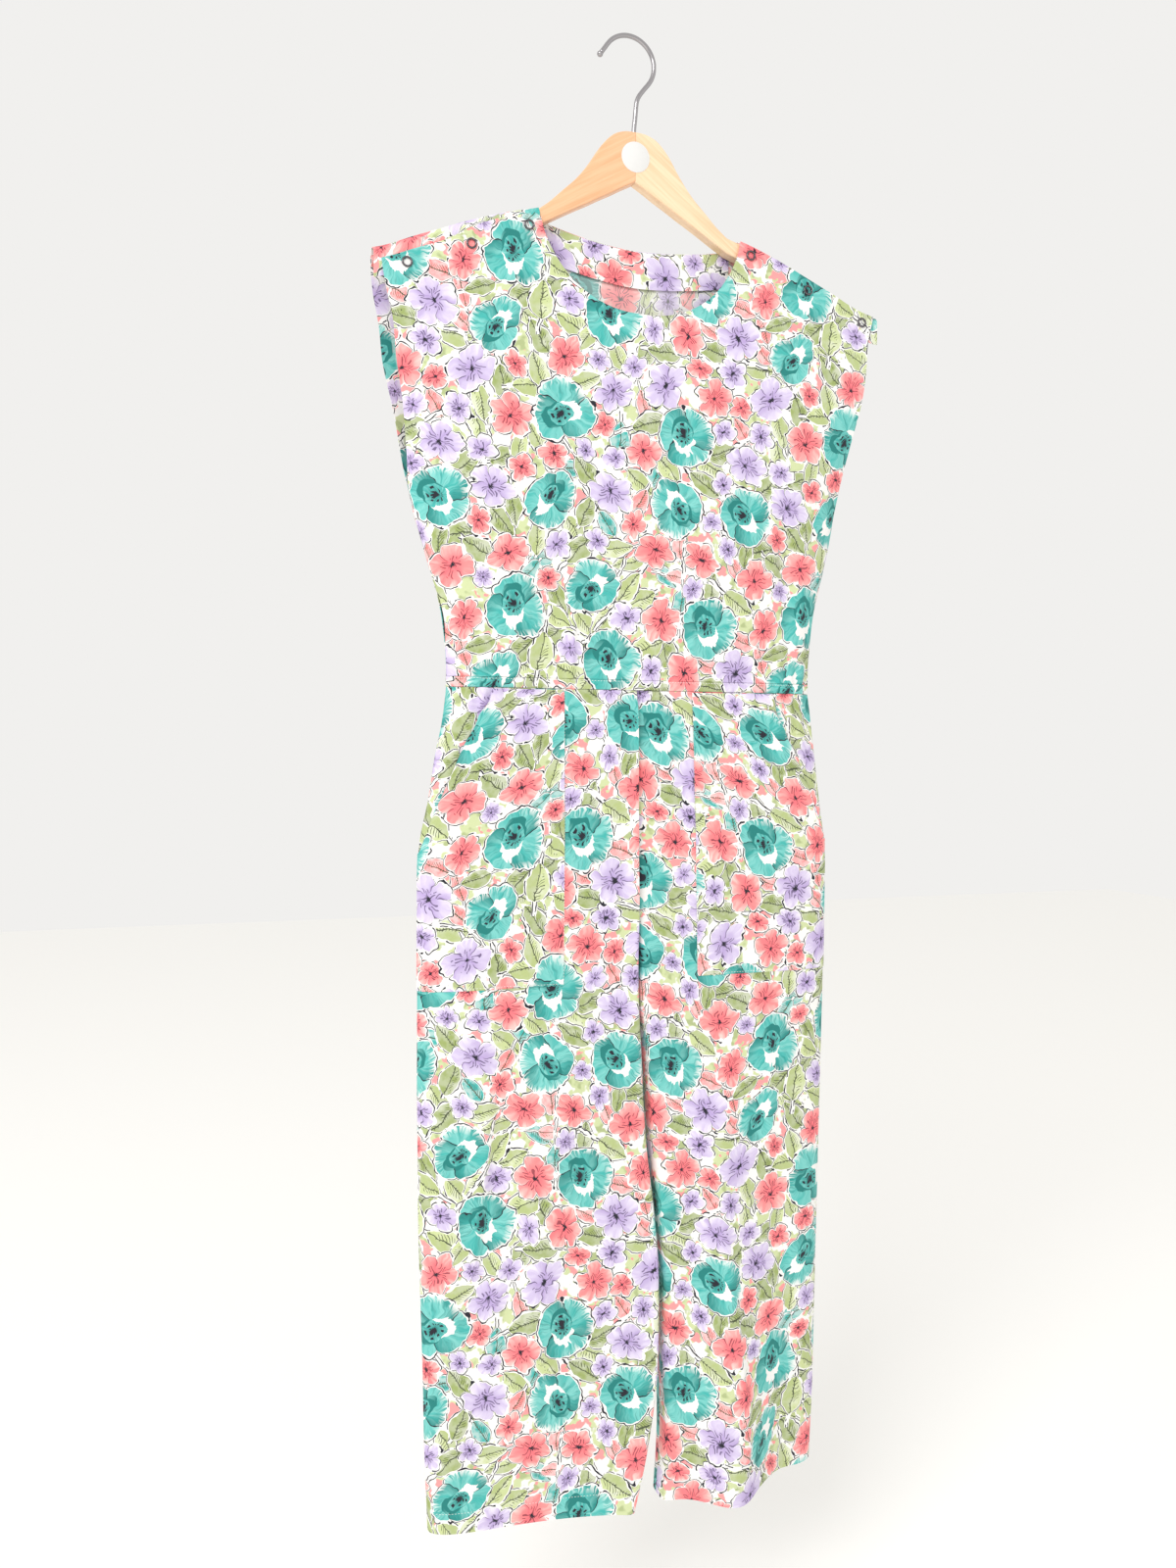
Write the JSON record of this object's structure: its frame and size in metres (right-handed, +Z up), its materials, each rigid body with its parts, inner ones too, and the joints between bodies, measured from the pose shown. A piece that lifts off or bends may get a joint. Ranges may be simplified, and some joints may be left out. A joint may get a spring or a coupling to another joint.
{
  "type": "sleeveless long-legged romper on a wooden clothes hanger",
  "caption": "Loose sleeveless floral jumpsuit with a gathered waist and patch pockets, hung flat from a wooden hanger with a steel hook.",
  "frame": {"origin": "highest point inside the hanger's hook, where a peg or a rail carries it", "axes": "+Z up, the garment's front faces -Y, +X to the right of someone who looks at its front"},
  "size_m": [0.5587, 0.0735, 1.5408],
  "materials": {
    "cotton_front": "matt printed cotton",
    "cotton_back": "matt printed cotton",
    "beech": "clear varnish",
    "steel": "bright zinc plate",
    "ring": "plated",
    "paper": "matt paper, blank"
  },
  "bodies": {
    "root": {"bodice_front": "cotton_front", "bodice_back": "cotton_back", "back_neck_facing": "cotton_back", "waist_casing_front": "cotton_front", "waist_casing_back": "cotton_back", "trouser_front_left": "cotton_front", "trouser_front_right": "cotton_front", "trouser_back_left": "cotton_back", "trouser_back_right": "cotton_back", "pocket_left": "cotton_front", "pocket_right": "cotton_front", "snap_left_1": "ring", "snap_left_2": "ring", "snap_left_3": "ring", "snap_right_1": "ring", "snap_right_2": "ring", "snap_right_3": "ring", "hanger_arm_left": "beech", "hanger_arm_right": "beech", "hanger_hook": "steel", "hanger_sticker": "paper"}
  },
  "joints": []
}
